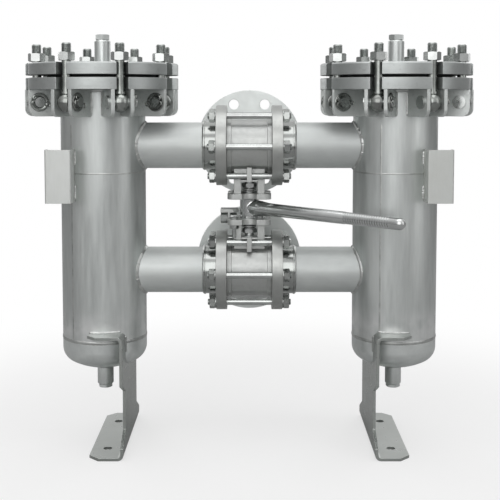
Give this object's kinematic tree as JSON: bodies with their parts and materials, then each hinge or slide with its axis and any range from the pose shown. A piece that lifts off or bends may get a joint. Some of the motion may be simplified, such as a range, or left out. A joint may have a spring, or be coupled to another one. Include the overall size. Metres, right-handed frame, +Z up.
{
  "type": "duplex strainer",
  "caption": "Two upright filter vessels with swing-bolt covers, joined by two three-way ball valves that one lever turns together, on bent sheet legs with rear flanged ports.",
  "frame": {"origin": "on the floor, at the centre of the four foot-bolt holes, midway between the two vessels", "axes": "+X from the left vessel to the right one, +Y to the rear, where the ports point, +Z up"},
  "size_m": [0.736, 0.3695, 0.686],
  "materials": {
    "gasket_fibre": "matt dark fibre gasket",
    "seat_ptfe": "white ball seat",
    "polished_ball": "polished ball",
    "bolt_steel": "bright machined stainless",
    "turned_flange": "turned and pickled stainless",
    "port_steel": "turned stainless, satin",
    "leg_sheet": "satin sheet",
    "bracket_sheet": "matt sheet, left blank",
    "valve_casting": "investment-cast stainless, blasted and machined",
    "lever_steel": "bright bar, ribbed grip",
    "basket_steel": "perforated stainless",
    "lug_steel": "cut plate, welded on",
    "vessel_steel": "satin pickled stainless"
  },
  "bodies": {
    "frame": {"left_basket": "basket_steel", "left_cover": "turned_flange", "left_gasket": "gasket_fibre", "left_head": "vessel_steel", "left_hinge_lugs": "lug_steel", "left_hinge_pins": "bolt_steel", "left_leg": "leg_sheet", "left_name_bracket": "bracket_sheet", "left_shell": "vessel_steel", "left_vent_nipple": "vessel_steel", "left_vessel_flange": "turned_flange", "lower_ball_seats": "seat_ptfe", "lower_branch_pipes": "vessel_steel", "lower_end_plates": "valve_casting", "lower_port": "port_steel", "lower_tie_rods": "bolt_steel", "lower_valve_body": "valve_casting", "right_basket": "basket_steel", "right_cover": "turned_flange", "right_gasket": "gasket_fibre", "right_head": "vessel_steel", "right_hinge_lugs": "lug_steel", "right_hinge_pins": "bolt_steel", "right_leg": "leg_sheet", "right_name_bracket": "bracket_sheet", "right_shell": "vessel_steel", "right_vent_nipple": "vessel_steel", "right_vessel_flange": "turned_flange", "stop_bolts": "bolt_steel", "stop_bracket": "valve_casting", "upper_ball_seats": "seat_ptfe", "upper_branch_pipes": "vessel_steel", "upper_end_plates": "valve_casting", "upper_port": "port_steel", "upper_tie_rods": "bolt_steel", "upper_valve_body": "valve_casting"},
    "changeover": {"lever_handle": "lever_steel", "lever_hub": "lever_steel", "upper_stem": "lever_steel", "lower_stem": "lever_steel", "upper_ball": "polished_ball", "lower_ball": "polished_ball"},
    "left_swing_bolt_1": {"left_swing_bolt_1": "bolt_steel"},
    "left_swing_bolt_2": {"left_swing_bolt_2": "bolt_steel"},
    "left_swing_bolt_3": {"left_swing_bolt_3": "bolt_steel"},
    "left_swing_bolt_4": {"left_swing_bolt_4": "bolt_steel"},
    "left_swing_bolt_5": {"left_swing_bolt_5": "bolt_steel"},
    "left_swing_bolt_6": {"left_swing_bolt_6": "bolt_steel"},
    "left_swing_bolt_7": {"left_swing_bolt_7": "bolt_steel"},
    "left_swing_bolt_8": {"left_swing_bolt_8": "bolt_steel"},
    "right_swing_bolt_1": {"right_swing_bolt_1": "bolt_steel"},
    "right_swing_bolt_2": {"right_swing_bolt_2": "bolt_steel"},
    "right_swing_bolt_3": {"right_swing_bolt_3": "bolt_steel"},
    "right_swing_bolt_4": {"right_swing_bolt_4": "bolt_steel"},
    "right_swing_bolt_5": {"right_swing_bolt_5": "bolt_steel"},
    "right_swing_bolt_6": {"right_swing_bolt_6": "bolt_steel"},
    "right_swing_bolt_7": {"right_swing_bolt_7": "bolt_steel"},
    "right_swing_bolt_8": {"right_swing_bolt_8": "bolt_steel"}
  },
  "joints": [
    {"name": "changeover_lever", "type": "hinge", "parent": "frame", "child": "changeover", "pos_m": [0, -0.0195, 0.399], "axis": [0, 0, 1], "range_deg": [-90, 0]},
    {"name": "left_swing_bolt_1_hinge", "type": "hinge", "parent": "frame", "child": "left_swing_bolt_1", "pos_m": [-0.14276, 0.02202, 0.575], "axis": [-0.3827, 0.9239, 0], "range_deg": [0, 95]},
    {"name": "left_swing_bolt_2_hinge", "type": "hinge", "parent": "frame", "child": "left_swing_bolt_2", "pos_m": [-0.20148, 0.08074, 0.575], "axis": [-0.9239, 0.3827, 0], "range_deg": [0, 95]},
    {"name": "left_swing_bolt_3_hinge", "type": "hinge", "parent": "frame", "child": "left_swing_bolt_3", "pos_m": [-0.28452, 0.08074, 0.575], "axis": [-0.9239, -0.3827, 0], "range_deg": [0, 95]},
    {"name": "left_swing_bolt_4_hinge", "type": "hinge", "parent": "frame", "child": "left_swing_bolt_4", "pos_m": [-0.34324, 0.02202, 0.575], "axis": [-0.3827, -0.9239, 0], "range_deg": [0, 95]},
    {"name": "left_swing_bolt_5_hinge", "type": "hinge", "parent": "frame", "child": "left_swing_bolt_5", "pos_m": [-0.34324, -0.06102, 0.575], "axis": [0.3827, -0.9239, 0], "range_deg": [0, 95]},
    {"name": "left_swing_bolt_6_hinge", "type": "hinge", "parent": "frame", "child": "left_swing_bolt_6", "pos_m": [-0.28452, -0.11974, 0.575], "axis": [0.9239, -0.3827, 0], "range_deg": [0, 95]},
    {"name": "left_swing_bolt_7_hinge", "type": "hinge", "parent": "frame", "child": "left_swing_bolt_7", "pos_m": [-0.20148, -0.11974, 0.575], "axis": [0.9239, 0.3827, 0], "range_deg": [0, 95]},
    {"name": "left_swing_bolt_8_hinge", "type": "hinge", "parent": "frame", "child": "left_swing_bolt_8", "pos_m": [-0.14276, -0.06102, 0.575], "axis": [0.3827, 0.9239, 0], "range_deg": [0, 95]},
    {"name": "right_swing_bolt_1_hinge", "type": "hinge", "parent": "frame", "child": "right_swing_bolt_1", "pos_m": [0.34324, 0.02202, 0.575], "axis": [-0.3827, 0.9239, 0], "range_deg": [0, 95]},
    {"name": "right_swing_bolt_2_hinge", "type": "hinge", "parent": "frame", "child": "right_swing_bolt_2", "pos_m": [0.28452, 0.08074, 0.575], "axis": [-0.9239, 0.3827, 0], "range_deg": [0, 95]},
    {"name": "right_swing_bolt_3_hinge", "type": "hinge", "parent": "frame", "child": "right_swing_bolt_3", "pos_m": [0.20148, 0.08074, 0.575], "axis": [-0.9239, -0.3827, 0], "range_deg": [0, 95]},
    {"name": "right_swing_bolt_4_hinge", "type": "hinge", "parent": "frame", "child": "right_swing_bolt_4", "pos_m": [0.14276, 0.02202, 0.575], "axis": [-0.3827, -0.9239, 0], "range_deg": [0, 95]},
    {"name": "right_swing_bolt_5_hinge", "type": "hinge", "parent": "frame", "child": "right_swing_bolt_5", "pos_m": [0.14276, -0.06102, 0.575], "axis": [0.3827, -0.9239, 0], "range_deg": [0, 95]},
    {"name": "right_swing_bolt_6_hinge", "type": "hinge", "parent": "frame", "child": "right_swing_bolt_6", "pos_m": [0.20148, -0.11974, 0.575], "axis": [0.9239, -0.3827, 0], "range_deg": [0, 95]},
    {"name": "right_swing_bolt_7_hinge", "type": "hinge", "parent": "frame", "child": "right_swing_bolt_7", "pos_m": [0.28452, -0.11974, 0.575], "axis": [0.9239, 0.3827, 0], "range_deg": [0, 95]},
    {"name": "right_swing_bolt_8_hinge", "type": "hinge", "parent": "frame", "child": "right_swing_bolt_8", "pos_m": [0.34324, -0.06102, 0.575], "axis": [0.3827, 0.9239, 0], "range_deg": [0, 95]}
  ]
}
